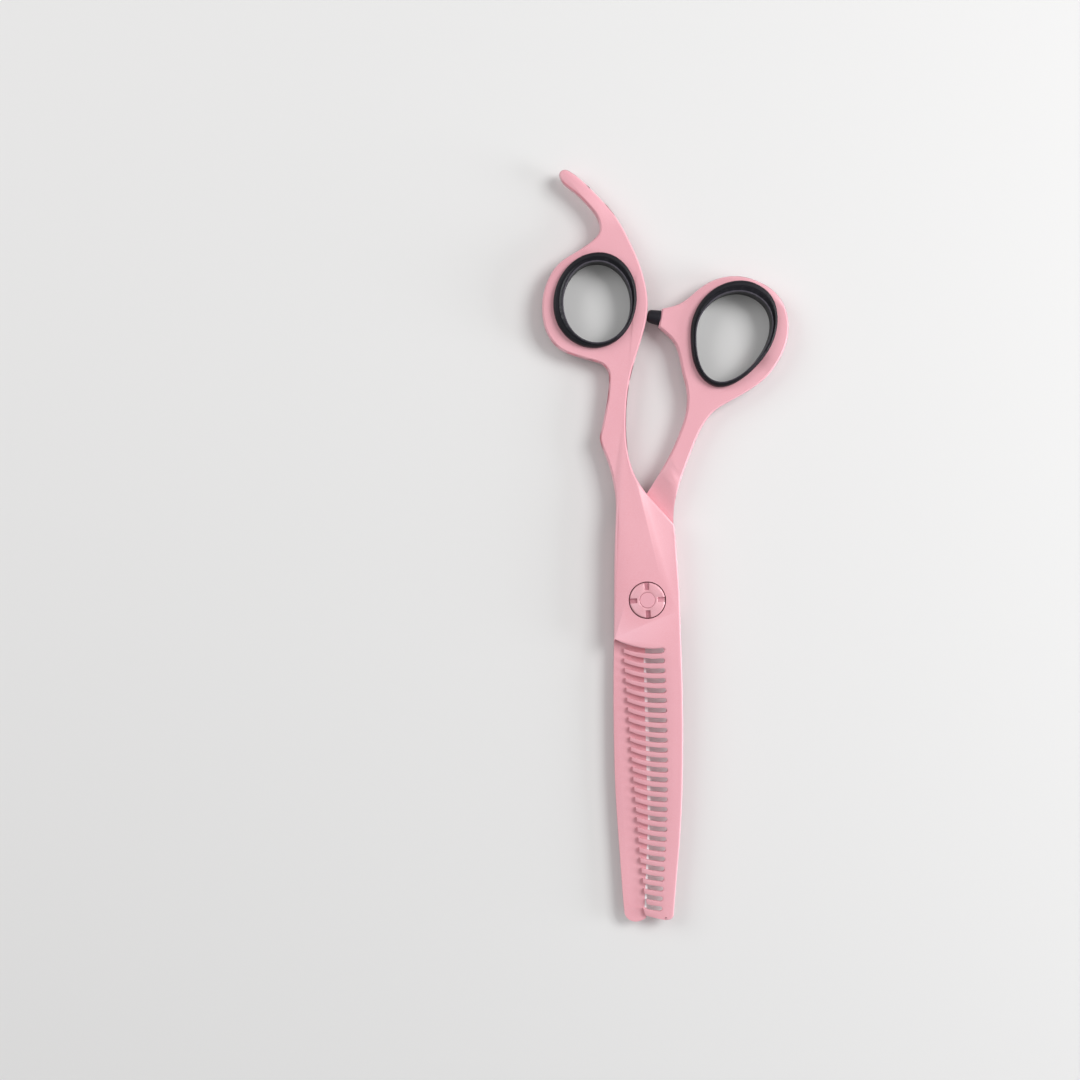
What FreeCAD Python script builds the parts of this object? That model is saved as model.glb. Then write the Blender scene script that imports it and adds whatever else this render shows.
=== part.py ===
"""Right-handed thinning shears, lying flat and closed.

Frame: millimetres. The pivot axis is +Z, and the origin is where it meets the surface that the shears lie on.
+Y runs from the pivot to the finger rings, and the blades point along -Y. The comb half is the upper one.
"""

import FreeCAD
import Part

import math
import os

from FreeCAD import Vector

# Heights above the resting surface. Everything is symmetric about the parting plane.
OVERALL_HEIGHT = 6.4
MID_Z = OVERALL_HEIGHT / 2
HALF_GAP = 0.05
HANDLE_THICKNESS = 5.0
LOWER_FACE = MID_Z - HANDLE_THICKNESS / 2
UPPER_FACE = MID_Z + HANDLE_THICKNESS / 2
LOWER_INNER = MID_Z - HALF_GAP
UPPER_INNER = MID_Z + HALF_GAP

# Blades
TAPER_START_Y = -11.0
BLADE_TIP_Y = -73.0
TIP_THICKNESS = 1.2
TOOTH_TIP_THICKNESS = 0.75
EDGE_THICKNESS = 0.35
EDGE_BEVEL_WIDTH = 4.6
HOLLOW_DEPTH = 0.12
HOLLOW_SLOPE = 1.2
HOLLOW_TO_BACK = 1.3
HONE_STRIP = 0.45
REST_THINNING = 1.1
REST_THINNING_START_Y = 84.0
REST_THINNING_END_Y = 99.0

# Comb slots
SLOT_COUNT = 27
SLOT_WIDTH = 1.15
FIRST_SLOT_Y = -11.4
LAST_SLOT_Y = -69.7
SLOT_RADIUS = 18.5
FIRST_SLOT_TILT = 6.6
LAST_SLOT_TILT = -3.7
TOOTH_WIDTH = (FIRST_SLOT_Y - LAST_SLOT_Y) / (SLOT_COUNT - 1) - SLOT_WIDTH
TIP_SLANT = 0.75
SLOT_OVERRUN = 1.6
PAST_TOOTH_TIPS = 2.0
CREST_INSIDE_SLOTS = 0.35

# Lap: where each half steps down to half thickness to pass the other
LAP_DISTANCE = 15.7
LAP_NORMAL = Vector(0.752, 0.659, 0)
LAP_CLEARANCE = 0.35
LAP_RAMP = 7.0

# Pivot stack
DIAL_RADIUS = 4.0
DIAL_THICKNESS = 1.2
DIAL_TOP = UPPER_FACE + 0.25
DIAL_POCKET_RADIUS = 4.2
DIAL_POCKET_FLOOR = 4.15
NOTCH_COUNT = 4
NOTCH_WIDTH = 1.1
NOTCH_INNER_RADIUS = 2.3
NOTCH_DEPTH = 0.5
NOTCH_TURN = 3.0
DETENT_COUNT = 24
DETENT_RADIUS = 0.22
DETENT_CIRCLE = 3.0
DETENT_DEPTH = 0.15
THREAD_RADIUS = 1.75
THREAD_CLEARANCE = 0.04
SHAFT_RADIUS = 2.0
RUNNING_CLEARANCE = 0.04
SLEEVE_RADIUS = 2.6
HEAD_RADIUS = 4.0
HEAD_THICKNESS = 1.0
NECK_SIDE = 4.2
NECK_TOP = 2.3
NECK_CLEARANCE = 0.02
WASHER_RADIUS = 5.0
WASHER_THICKNESS = 0.34
WASHER_PROUD = 0.09
SEAT_CLEARANCE = 0.1
FRICTION_WASHER_THICKNESS = 0.2
SPRING_SHEET = 0.15
SPRING_RISE = 0.2
SPRING_RADIUS = 3.85
SPRING_FLAT_RADIUS = 3.05
NIB_COUNT = 4
NIB_RADIUS = 0.2
NIB_TO_DIAL = 0.01
FLAT_OFFSET = 1.45
FLAT_CLEARANCE = 0.03
STACK_GAP = 0.01
CHAMFER = 0.25

# Ring inserts: a sleeve in the ring's hole, with a lip over each face
LIP_OVERLAP = 0.9
LIP_ROUND = 0.3

# Bumper
BUMPER_LENGTH = 2.97
BUMPER_BASE_RADIUS = 1.75
BUMPER_TIP_RADIUS = 1.45
BUMPER_CROWN = 0.45
STUD_RADIUS = 1.0
STUD_IN_ARM = 3.4
STUD_IN_CAP = 1.6

# Comb half, from the crotch up the inside of the shank, past the ring, round the end of the finger rest, back
# round the ring and down the outside of the shank to the heel of the comb
COMB_HANDLE_EDGE = [
    (6.05, 16.9), (3.0, 20.35), (0.0, 23.8), (-2.45, 27.5), (-3.95, 31.5), (-4.7, 37.0), (-4.7, 42.8),
    (-3.9, 49.6), (-2.2, 55.9), (-0.5, 61.7), (0.15, 66.9), (-0.3, 70.8), (-1.8, 76.1), (-4.2, 81.5),
    (-7.4, 87.0), (-10.9, 91.0), (-15.0, 95.0), (-17.5, 96.8), (-18.7, 97.15), (-19.7, 96.5), (-19.5, 95.1),
    (-16.5, 92.3), (-13.7, 89.6), (-11.6, 87.0), (-10.7, 84.7), (-10.7, 83.3), (-11.5, 81.9), (-13.5, 80.2),
    (-15.6, 78.8), (-19.0, 76.7), (-21.0, 74.7), (-22.5, 72.0), (-23.45, 68.9), (-23.7, 65.8), (-23.3, 62.4),
    (-22.0, 59.2), (-19.7, 56.7), (-16.3, 55.2), (-12.5, 54.1), (-9.9, 53.1), (-8.8, 51.7), (-8.55, 49.1),
    (-8.9, 45.4), (-9.6, 41.7), (-10.3, 38.3), (-10.6, 36.7), (-10.35, 35.2), (-9.75, 33.6), (-8.5, 30.2),
    (-7.55, 26.4), (-7.05, 23.0), (-7.0, 19.8), (-7.2, 14.7), (-7.4, 6.8), (-7.45, -2.2), (-7.45, -9.9),
]
TOOTH_TIPS = [
    (-6.3, -10.6), (-6.2, -16.0), (-5.85, -21.0), (-4.9, -33.7), (-3.9, -45.0), (-2.6, -59.0),
    (-1.35, -68.0), (-0.4, -71.2), (1.6, -78.0),
]
COMB_END = [
    (-2.4, -70.4), (-0.4, -71.2), (2.2, -71.9), (4.2, -72.2), (5.4, -72.0), (6.0, -71.3), (6.3, -69.8),
]
COMB_SPINE = [
    (5.5, -78.0), (6.0, -71.3), (6.55, -64.3), (7.25, -56.2), (7.7, -49.4), (8.0, -41.3), (8.1, -31.5),
    (8.05, -23.4), (7.8, -14.3), (7.5, -6.2), (7.2, 1.9), (6.75, 8.6), (6.3, 14.5), (6.05, 16.9),
]
SLOT_ENDS = [(3.85, -11.4), (4.4, -22.5), (4.7, -38.0), (4.5, -52.0), (3.95, -61.0), (3.45, -69.7)]

# Plain half, from its heel up the outside of the thumb shank and round the ring to the bumper arm
THUMB_OUTER_EDGE = [
    (6.9, -1.6), (6.8, 3.0), (6.45, 8.6), (6.1, 14.0), (6.0, 17.0), (6.1, 20.7), (6.55, 23.4), (7.3, 26.1),
    (9.75, 32.9), (11.4, 37.0), (12.8, 39.7), (14.8, 42.3), (18.9, 45.0), (23.75, 47.8), (27.1, 50.5),
    (30.0, 54.5), (31.5, 58.2), (31.9, 62.0), (31.2, 65.8), (28.9, 69.4), (25.3, 71.8), (21.3, 73.0),
    (17.2, 72.85), (14.0, 71.7), (11.2, 69.8), (8.7, 67.7), (7.2, 66.8), (5.2, 66.15), (3.4, 65.75),
]
# from the bumper arm down the inside of the shank, under the comb half and down the blade's back
THUMB_INNER_EDGE = [
    (2.6, 61.7), (4.05, 60.4), (5.45, 59.1), (6.4, 57.7), (7.1, 55.9), (8.0, 51.8), (8.9, 48.2),
    (9.15, 45.2), (8.85, 42.3), (8.1, 39.6), (6.55, 35.6), (4.55, 31.5), (2.2, 27.5), (0.0, 24.0),
    (-3.0, 20.0), (-5.9, 16.6), (-6.9, 14.0), (-7.2, 9.0), (-7.3, 0.0), (-7.4, -9.0),
    (-7.5, -18.0), (-7.5, -25.0), (-7.35, -34.6), (-7.15, -41.4), (-6.75, -48.6), (-6.3, -54.9),
    (-5.7, -63.0), (-5.15, -69.7), (-3.9, -78.0),
]
PLAIN_END = [
    (-5.4, -70.0), (-4.9, -71.3), (-4.1, -72.3), (-2.6, -72.8), (-1.4, -72.6), (-0.15, -71.9), (0.7, -70.9),
]
CUTTING_EDGE = [
    (-0.4, -78.0), (-0.15, -71.8), (0.2, -63.0), (0.55, -55.0), (0.8, -46.8), (0.8, -41.0), (0.7, -36.0),
    (0.45, -29.2), (0.0, -18.4), (-0.35, -11.6), (-0.4, -9.4),
]
PLAIN_HEEL = [(-0.4, -9.4), (0.4, -7.2), (2.8, -5.3), (5.4, -4.6), (6.6, -3.6), (6.9, -1.6)]

# Flat end of the bumper arm, which the bumper stands on
SEAT_TOP = Vector(*THUMB_OUTER_EDGE[-1], MID_Z)
SEAT_FOOT = Vector(*THUMB_INNER_EDGE[0], MID_Z)
BUMPER_SEAT = (SEAT_TOP + SEAT_FOOT) / 2
BUMPER_AXIS = Vector(SEAT_FOOT.y - SEAT_TOP.y, SEAT_TOP.x - SEAT_FOOT.x, 0).normalize()

# Outer edges of the ring inserts' lips, and the openings that fingers go through
FINGER_RING = [
    (-10.9, 78.35), (-7.2, 77.4), (-4.3, 74.7), (-2.6, 70.6), (-2.4, 67.6), (-3.6, 62.5), (-6.8, 58.5),
    (-11.7, 56.8), (-16.0, 57.8), (-19.5, 60.9), (-21.1, 65.3), (-20.6, 70.4), (-18.2, 74.8), (-14.9, 77.4),
]
THUMB_RING = [
    (21.0, 72.0), (25.2, 70.9), (28.2, 68.1), (29.3, 64.3), (28.9, 60.0), (27.1, 55.9), (24.1, 52.2),
    (20.3, 49.2), (15.9, 48.0), (12.5, 49.9), (10.6, 53.2), (9.8, 58.0), (10.1, 63.0), (12.2, 67.4),
    (16.2, 70.8),
]
FINGER_OPENING = [
    (-11.3, 76.15), (-7.5, 74.95), (-4.7, 71.6), (-3.7, 67.1), (-4.7, 62.5), (-7.5, 59.2), (-11.3, 58.05),
    (-15.1, 59.2), (-17.9, 62.5), (-18.9, 67.1), (-17.9, 71.6), (-15.1, 74.95),
]
THUMB_OPENING = [
    (20.4, 69.4), (24.2, 68.5), (27.0, 66.0), (28.0, 62.9), (27.35, 58.7), (25.6, 55.4), (22.9, 52.3),
    (19.5, 49.9), (16.0, 49.2), (13.4, 50.6), (11.7, 53.8), (11.05, 58.3), (11.5, 62.6), (13.6, 66.2),
    (16.8, 68.6),
]

# How far cutting shapes reach past the part, above or below it and to the sides
ABOVE = 3.0
REACH = 60.0
PAST_TIP = 9.0
POINTS_PER_EDGE = 4


def smooth(points, closed=False):
    """Edges of one smooth flat curve through the points, a few points to an edge."""
    curve = Part.BSplineCurve()
    curve.interpolate(Points=[Vector(x, y, 0) for x, y in points], PeriodicFlag=closed)
    knots = curve.getKnots()
    stops = knots[:-1:POINTS_PER_EDGE] + knots[-1:]
    edges = []
    for start, stop in zip(stops, stops[1:]):
        piece = curve.copy()
        piece.segment(start, stop)
        edges.append(piece.toShape())
    return edges


def line(start, end):
    """One straight edge, in a list."""
    return [Part.makeLine(Vector(*start, 0), Vector(*end, 0))]


def prism(wire, low, high):
    """The flat wire's area, from one height to another."""
    flat = wire.copy()
    flat.translate(Vector(0, 0, low))
    return Part.Face(flat).extrude(Vector(0, 0, high - low))


def disc(radius, low, high):
    return Part.makeCylinder(radius, high - low, Vector(0, 0, low))


def at_height(shape, height):
    """The shape's edges that lie flat at one height."""
    flat = []
    for edge in shape.Edges:
        box = edge.BoundBox
        if max(abs(box.ZMin - height), abs(box.ZMax - height)) < 1e-6:
            flat.append(edge)
    return flat


def ring_wire(points, inset=0.0):
    """A smooth closed outline through the points, each first moved inwards by inset. They run clockwise."""
    moved = []
    for number, point in enumerate(points):
        before, after = points[number - 1], points[(number + 1) % len(points)]
        along = Vector(after[0] - before[0], after[1] - before[1], 0).normalize()
        moved.append((point[0] + along.y * inset, point[1] - along.x * inset))
    return Part.Wire(smooth(moved, closed=True))


def x_on(points, y):
    """Where a run of points, taken as straight lines, crosses a given y."""
    for (x0, y0), (x1, y1) in zip(points, points[1:]):
        if min(y0, y1) <= y <= max(y0, y1):
            return x0 + (x1 - x0) * (y - y0) / (y1 - y0)
    nearest = min(points, key=lambda p: abs(p[1] - y))
    return nearest[0]


def loft_along_y(section, stations):
    """A solid through flat sections that stand across Y. section(y) gives (x, z) corners."""
    wires = [Part.makePolygon([Vector(x, y, z) for x, z in section(y) + section(y)[:1]]) for y in stations]
    return outwards(Part.makeLoft(wires, True, False))


def outwards(solid):
    """The solid with its faces turned outwards, if they point inwards."""
    if solid.Volume < 0:
        solid.reverse()
    return solid


def outer_taper(y):
    """How far a blade's outer face has come in towards the parting plane at y."""
    share = max(0.0, (TAPER_START_Y - y) / (TAPER_START_Y - BLADE_TIP_Y))
    return share * (HANDLE_THICKNESS / 2 - HALF_GAP - TIP_THICKNESS)


def mirrored(shape):
    """The shape mirrored in the parting plane, so that what cuts one half's face cuts the other's."""
    return shape.mirror(Vector(0, 0, MID_Z), Vector(0, 0, 1))


def lap_cutter(side):
    """What is cut from the lower half above its inner face: flat round the pivot, then a ramp up the shank.
    side is 1 where the shank leans to +X and -1 where it leans to -X."""
    normal = Vector(side * LAP_NORMAL.x, LAP_NORMAL.y, 0)
    along = Vector(-normal.y, normal.x, 0)
    start = LAP_DISTANCE + LAP_CLEARANCE
    top = UPPER_FACE + ABOVE

    def corner(distance, height):
        return normal * distance - along * REACH + Vector(0, 0, height)

    rise = UPPER_FACE - LOWER_INNER
    ramp = Part.BSplineCurve()
    ramp.interpolate(
        Points=[
            corner(start, LOWER_INNER),
            corner(start + LAP_RAMP * 0.35, LOWER_INNER + rise * 0.28),
            corner(start + LAP_RAMP * 0.7, LOWER_INNER + rise * 0.72),
            corner(start + LAP_RAMP, UPPER_FACE),
        ]
    )
    edges = [
        Part.makeLine(corner(-2 * REACH, LOWER_INNER), corner(start, LOWER_INNER)),
        ramp.toShape(),
        Part.makeLine(corner(start + LAP_RAMP, UPPER_FACE), corner(start + LAP_RAMP, top)),
        Part.makeLine(corner(start + LAP_RAMP, top), corner(-2 * REACH, top)),
        Part.makeLine(corner(-2 * REACH, top), corner(-2 * REACH, LOWER_INNER)),
    ]
    return Part.Face(Part.Wire(edges)).extrude(along * 2 * REACH)


def wedge(profile):
    """A wide block with the given (y, z) corners."""
    corners = [Vector(-REACH, y, z) for y, z in profile]
    return Part.Face(Part.makePolygon(corners + corners[:1])).extrude(Vector(2 * REACH, 0, 0))


def face_taper():
    """What is cut from the upper half's outer face so that the blade thins towards its tip."""
    far = BLADE_TIP_Y - PAST_TIP
    return wedge([
        (TAPER_START_Y, UPPER_FACE), (far, UPPER_FACE - outer_taper(far)),
        (far, UPPER_FACE + ABOVE), (TAPER_START_Y, UPPER_FACE + ABOVE),
    ])


def slot_place(number):
    """The closed end of a slot's centre line, the slot's tilt there, and the centre of its arc."""
    share = number / (SLOT_COUNT - 1)
    y = FIRST_SLOT_Y + share * (LAST_SLOT_Y - FIRST_SLOT_Y)
    tilt = math.radians(FIRST_SLOT_TILT + share * (LAST_SLOT_TILT - FIRST_SLOT_TILT))
    end = Vector(x_on(SLOT_ENDS, y) - SLOT_WIDTH / 2, y, 0)
    return end, tilt, end + Vector(-math.sin(tilt), math.cos(tilt), 0) * SLOT_RADIUS


def slot_cutter(number):
    """One curved slot with a round closed end, and what slants the tip of the tooth above it."""
    end, tilt, centre = slot_place(number)
    tip_x = x_on(TOOTH_TIPS, end.y)
    reach = end.x - tip_x + SLOT_OVERRUN
    first = math.radians(-90) + tilt
    last = first - reach / SLOT_RADIUS

    def on_arc(radius, angle):
        return centre + Vector(math.cos(angle), math.sin(angle), 0) * radius

    inner = SLOT_RADIUS - SLOT_WIDTH / 2
    outer = SLOT_RADIUS + SLOT_WIDTH / 2
    middle = (first + last) / 2
    nose = end + Vector(math.cos(tilt), math.sin(tilt), 0) * SLOT_WIDTH / 2
    edges = [
        Part.Arc(on_arc(inner, last), on_arc(inner, middle), on_arc(inner, first)).toShape(),
        Part.Arc(on_arc(inner, first), nose, on_arc(outer, first)).toShape(),
        Part.Arc(on_arc(outer, first), on_arc(outer, middle), on_arc(outer, last)).toShape(),
        Part.makeLine(on_arc(outer, last), on_arc(inner, last)),
    ]
    band = prism(Part.Wire(edges), UPPER_INNER - 1, UPPER_FACE + 1)
    if number == 0:
        return [band]

    def over_tooth(radius, inset):
        return on_arc(radius, first - (end.x - tip_x - inset) / SLOT_RADIUS)

    below = inner + 0.3
    above = inner - TOOTH_WIDTH - 0.3
    slant = [
        over_tooth(below, TIP_SLANT), over_tooth(above, 0),
        over_tooth(above, -PAST_TOOTH_TIPS), over_tooth(below, -PAST_TOOTH_TIPS),
    ]
    return [band, prism(Part.makePolygon(slant + slant[:1]), UPPER_INNER - 1, UPPER_FACE + 1)]


def tooth_bevel():
    """What is cut from the comb's outer face so that the teeth thin towards their tips. It starts in the middle
    of the first slot and follows that slot's arc."""

    def section(y):
        crest = x_on(SLOT_ENDS, y) - CREST_INSIDE_SLOTS
        tip = x_on(TOOTH_TIPS, y)
        top = UPPER_FACE - outer_taper(y)
        low = UPPER_INNER + TOOTH_TIP_THICKNESS
        far = tip - PAST_TOOTH_TIPS
        slope = (top - low) / (crest - tip)
        above = UPPER_FACE + ABOVE
        return [(crest, top), (far, low - slope * PAST_TOOTH_TIPS), (far, above), (crest, above)]

    bevel = loft_along_y(section, [-8.0, TAPER_START_Y, -22.0, -33.7, -45.0, -59.0, -68.0, -79.0])
    centre = slot_place(0)[2]
    return bevel.cut(Part.makeCylinder(SLOT_RADIUS, UPPER_FACE + ABOVE, centre))


def plain_bevel():
    """What is cut from the plain blade's outer face, seen mirrored, to bring it down to the cutting edge."""

    def section(y):
        edge = x_on(CUTTING_EDGE, y)
        crest = edge - EDGE_BEVEL_WIDTH
        top = UPPER_FACE - outer_taper(y)
        low = UPPER_INNER + EDGE_THICKNESS
        beyond = 8.0
        slope = (top - low) / (edge - crest)
        above = UPPER_FACE + ABOVE
        return [(crest, top), (edge + beyond, low - slope * beyond), (edge + beyond, above), (crest, above)]

    return loft_along_y(section, [-9.8, -18.4, -29.2, -41.0, -55.0, -63.0, -79.0])


def back_of_blade(y):
    """Where the plain blade's back crosses a given y."""
    blade = [point for point in THUMB_INNER_EDGE if point[1] < 0]
    return x_on(blade, y)


def hollow_grind():
    """The shallow hollow in the plain blade's inner face, which leaves a honed strip along the cutting edge."""

    def section(y):
        edge = x_on(CUTTING_EDGE, y) - HONE_STRIP
        back = back_of_blade(y) + HOLLOW_TO_BACK
        floor = LOWER_INNER - HOLLOW_DEPTH
        top = LOWER_INNER + 1
        return [
            (back, LOWER_INNER), (back + HOLLOW_SLOPE, floor), (edge - HOLLOW_SLOPE, floor),
            (edge, LOWER_INNER), (edge, top), (back, top),
        ]

    return loft_along_y(section, [-12.5, -18.4, -29.2, -41.0, -55.0, -63.0, -69.5])


def finger_rest_thinning():
    """A wedge that thins the finger rest towards its end, on the upper face."""
    return wedge([
        (REST_THINNING_START_Y, UPPER_FACE), (REST_THINNING_END_Y, UPPER_FACE - REST_THINNING),
        (REST_THINNING_END_Y, UPPER_FACE + ABOVE), (REST_THINNING_START_Y, UPPER_FACE + ABOVE),
    ])


def comb_half():
    """Upper half: the toothed blade, its shank, the finger ring and the finger rest, forged as one piece."""
    edges = (
        smooth(COMB_HANDLE_EDGE)
        + line(COMB_HANDLE_EDGE[-1], TOOTH_TIPS[0])
        + smooth(TOOTH_TIPS)
        + line(TOOTH_TIPS[-1], COMB_SPINE[0])
        + smooth(COMB_SPINE)
    )
    body = prism(Part.Wire(edges), LOWER_FACE, UPPER_FACE)
    body = body.cut(prism(ring_wire(FINGER_RING, LIP_OVERLAP), 0, OVERALL_HEIGHT))
    body = body.cut([
        past_the_tip(COMB_END),
        mirrored(lap_cutter(-1)),
        face_taper(),
        tooth_bevel(),
        finger_rest_thinning(),
        mirrored(finger_rest_thinning()),
    ])
    for number in range(SLOT_COUNT):
        body = body.cut(slot_cutter(number))
    return body.cut([
        disc(DIAL_POCKET_RADIUS, DIAL_POCKET_FLOOR, UPPER_FACE + ABOVE),
        disc(SLEEVE_RADIUS, UPPER_INNER - 1, UPPER_FACE),
    ])


def past_the_tip(end):
    """What is cut off past a blade's rounded end."""
    left, right = end[0], end[-1]
    far = BLADE_TIP_Y - PAST_TIP
    corners = [right, (REACH, right[1]), (REACH, far), (-REACH, far), (-REACH, left[1]), left]
    edges = smooth(end)
    for start, stop in zip(corners, corners[1:]):
        edges += line(start, stop)
    return prism(Part.Wire(edges), 0, OVERALL_HEIGHT)


def plain_half():
    """Lower half: the plain blade, its shank, the thumb ring and the bumper arm."""
    edges = (
        smooth(THUMB_OUTER_EDGE)
        + line(THUMB_OUTER_EDGE[-1], THUMB_INNER_EDGE[0])
        + smooth(THUMB_INNER_EDGE)
        + line(THUMB_INNER_EDGE[-1], CUTTING_EDGE[0])
        + smooth(CUTTING_EDGE)
        + smooth(PLAIN_HEEL)
    )
    body = prism(Part.Wire(edges), LOWER_FACE, UPPER_FACE)
    body = body.cut(prism(ring_wire(THUMB_RING, LIP_OVERLAP), 0, OVERALL_HEIGHT))
    body = body.cut([
        past_the_tip(PLAIN_END),
        lap_cutter(1),
        mirrored(face_taper()),
        mirrored(plain_bevel()),
        hollow_grind(),
    ])
    hole_side = NECK_SIDE + 2 * NECK_CLEARANCE
    neck_hole = Part.makeBox(hole_side, hole_side, NECK_TOP, Vector(-hole_side / 2, -hole_side / 2, 0))
    body = body.cut([
        disc(HEAD_RADIUS + SEAT_CLEARANCE, 0, HEAD_THICKNESS),
        neck_hole,
        disc(SHAFT_RADIUS + RUNNING_CLEARANCE, 0, OVERALL_HEIGHT),
        disc(WASHER_RADIUS + SEAT_CLEARANCE, LOWER_INNER + WASHER_PROUD - WASHER_THICKNESS, OVERALL_HEIGHT),
    ])
    mouth = BUMPER_SEAT + BUMPER_AXIS
    return body.cut(Part.makeCylinder(STUD_RADIUS, STUD_IN_ARM + 1, mouth, BUMPER_AXIS * -1))


def turned(profile):
    """A solid of revolution about Z, from the (radius, height) corners of half its section."""
    corners = [Vector(r, 0, z) for r, z in profile]
    return Part.Face(Part.makePolygon(corners + corners[:1])).revolve(Vector(0, 0, 0), Vector(0, 0, 1), 360)


def tube(inner, outer, low, high):
    return turned([(inner, low), (outer, low), (outer, high), (inner, high)])


def beside_flats(offset, low, high):
    """The two blocks that leave a double-D section when they are cut from a round one."""
    span = 2 * THREAD_RADIUS
    block = Part.makeBox(span, 2 * span, high - low, Vector(offset, -span, low))
    return [block, block.mirror(Vector(0, 0, 0), Vector(1, 0, 0))]


def ring_insert(outline, opening):
    """A rubber sleeve in a finger ring's hole, with a rounded lip over each face of the ring."""
    lips = []
    for low, high in ((0, LOWER_FACE), (UPPER_FACE, OVERALL_HEIGHT)):
        lip = prism(ring_wire(outline), low, high)
        outer_face = 0 if low == 0 else OVERALL_HEIGHT
        lips.append(lip.makeFillet(LIP_ROUND, at_height(lip, outer_face)))
    sleeve = prism(ring_wire(outline, LIP_OVERLAP), LOWER_FACE, UPPER_FACE)
    body = sleeve.fuse(lips).removeSplitter().cut(prism(ring_wire(opening), 0, OVERALL_HEIGHT))
    return body


def finger_ring_insert():
    return ring_insert(FINGER_RING, FINGER_OPENING)


def thumb_ring_insert():
    return ring_insert(THUMB_RING, THUMB_OPENING)


def on_bumper_axis(shape):
    """Takes a shape made along +Z to the bumper's seat on the thumb arm."""
    shape.Placement = FreeCAD.Placement(BUMPER_SEAT, FreeCAD.Rotation(Vector(0, 0, 1), BUMPER_AXIS))
    return shape


def bumper_cap():
    """Rubber buffer that the finger ring closes on, moulded with a blind hole for its stud."""
    cap = turned([
        (0, STUD_IN_CAP), (STUD_RADIUS, STUD_IN_CAP), (STUD_RADIUS, 0), (BUMPER_BASE_RADIUS, 0),
        (BUMPER_TIP_RADIUS, BUMPER_LENGTH - BUMPER_CROWN),
        (BUMPER_TIP_RADIUS - BUMPER_CROWN, BUMPER_LENGTH), (0, BUMPER_LENGTH),
    ])
    return on_bumper_axis(cap)


def bumper_stud():
    """Steel stud, screwed into the thumb arm, that holds the rubber cap."""
    stud = turned([
        (0, -STUD_IN_ARM), (STUD_RADIUS - CHAMFER, -STUD_IN_ARM), (STUD_RADIUS, CHAMFER - STUD_IN_ARM),
        (STUD_RADIUS, STUD_IN_CAP - CHAMFER), (STUD_RADIUS - CHAMFER, STUD_IN_CAP), (0, STUD_IN_CAP),
    ])
    return on_bumper_axis(stud)


def pivot_bolt():
    """Flat round head, square neck that the lower half holds, plain shaft, and a threaded end with two flats."""
    head = turned([
        (0, 0), (HEAD_RADIUS - CHAMFER, 0), (HEAD_RADIUS, CHAMFER),
        (HEAD_RADIUS, HEAD_THICKNESS), (0, HEAD_THICKNESS),
    ])
    half = NECK_SIDE / 2
    neck = Part.makeBox(NECK_SIDE, NECK_SIDE, NECK_TOP - HEAD_THICKNESS, Vector(-half, -half, HEAD_THICKNESS))
    end = turned([
        (0, DIAL_POCKET_FLOOR), (THREAD_RADIUS, DIAL_POCKET_FLOOR), (THREAD_RADIUS, DIAL_TOP - CHAMFER / 2),
        (THREAD_RADIUS - CHAMFER / 2, DIAL_TOP), (0, DIAL_TOP),
    ])
    end = end.cut(beside_flats(FLAT_OFFSET, DIAL_POCKET_FLOOR, DIAL_TOP - DIAL_THICKNESS))
    return head.fuse([neck, disc(SHAFT_RADIUS, NECK_TOP, DIAL_POCKET_FLOOR), end]).removeSplitter()


def pivot_sleeve():
    """Bronze bush in the upper half's bore, which turns on the bolt's shaft."""
    return tube(SHAFT_RADIUS + RUNNING_CLEARANCE, SLEEVE_RADIUS, UPPER_INNER + STACK_GAP, DIAL_POCKET_FLOOR - STACK_GAP)


def blade_washer():
    """Thin slippery washer, sunk in the lower half, that keeps the two halves from rubbing at the pivot."""
    low = LOWER_INNER + WASHER_PROUD - WASHER_THICKNESS
    return tube(SHAFT_RADIUS + RUNNING_CLEARANCE, WASHER_RADIUS, low, low + WASHER_THICKNESS)


def friction_washer():
    """Washer on the pocket's floor, under the spring, keyed to the bolt by its double-D hole."""
    low = DIAL_POCKET_FLOOR + STACK_GAP
    high = low + FRICTION_WASHER_THICKNESS
    return disc(SPRING_RADIUS, low, high).cut(keyed_hole(low, high))


def keyed_hole(low, high):
    """The hole that goes over the bolt's two flats."""
    hole = disc(THREAD_RADIUS + THREAD_CLEARANCE, low, high)
    return hole.cut(beside_flats(FLAT_OFFSET + FLAT_CLEARANCE, low, high))


def click_spring():
    """Domed spring washer with nibs that drop into the dial's detents, keyed to the bolt."""
    low = DIAL_POCKET_FLOOR + FRICTION_WASHER_THICKNESS + 2 * STACK_GAP
    high = low + SPRING_SHEET
    sheet = turned([
        (SHAFT_RADIUS / 2, low), (SPRING_FLAT_RADIUS, low), (SPRING_RADIUS, low + SPRING_RISE),
        (SPRING_RADIUS, high + SPRING_RISE), (SPRING_FLAT_RADIUS, high), (SHAFT_RADIUS / 2, high),
    ])
    nib_top = DIAL_TOP - DIAL_THICKNESS - NIB_TO_DIAL
    nib_foot = Vector(DETENT_CIRCLE - NIB_RADIUS, 0, low)
    nib = Part.makeCone(NIB_RADIUS, NIB_RADIUS / 2, nib_top - low, nib_foot)
    return sheet.cut(keyed_hole(low, high)).fuse(around(nib, NIB_COUNT)).removeSplitter()


def around(shape, count, first=0.0):
    """Copies of a shape at equal steps about Z."""
    copies = []
    for number in range(count):
        copy = shape.copy()
        copy.rotate(Vector(0, 0, 0), Vector(0, 0, 1), first + number * 360 / count)
        copies.append(copy)
    return copies


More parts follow.
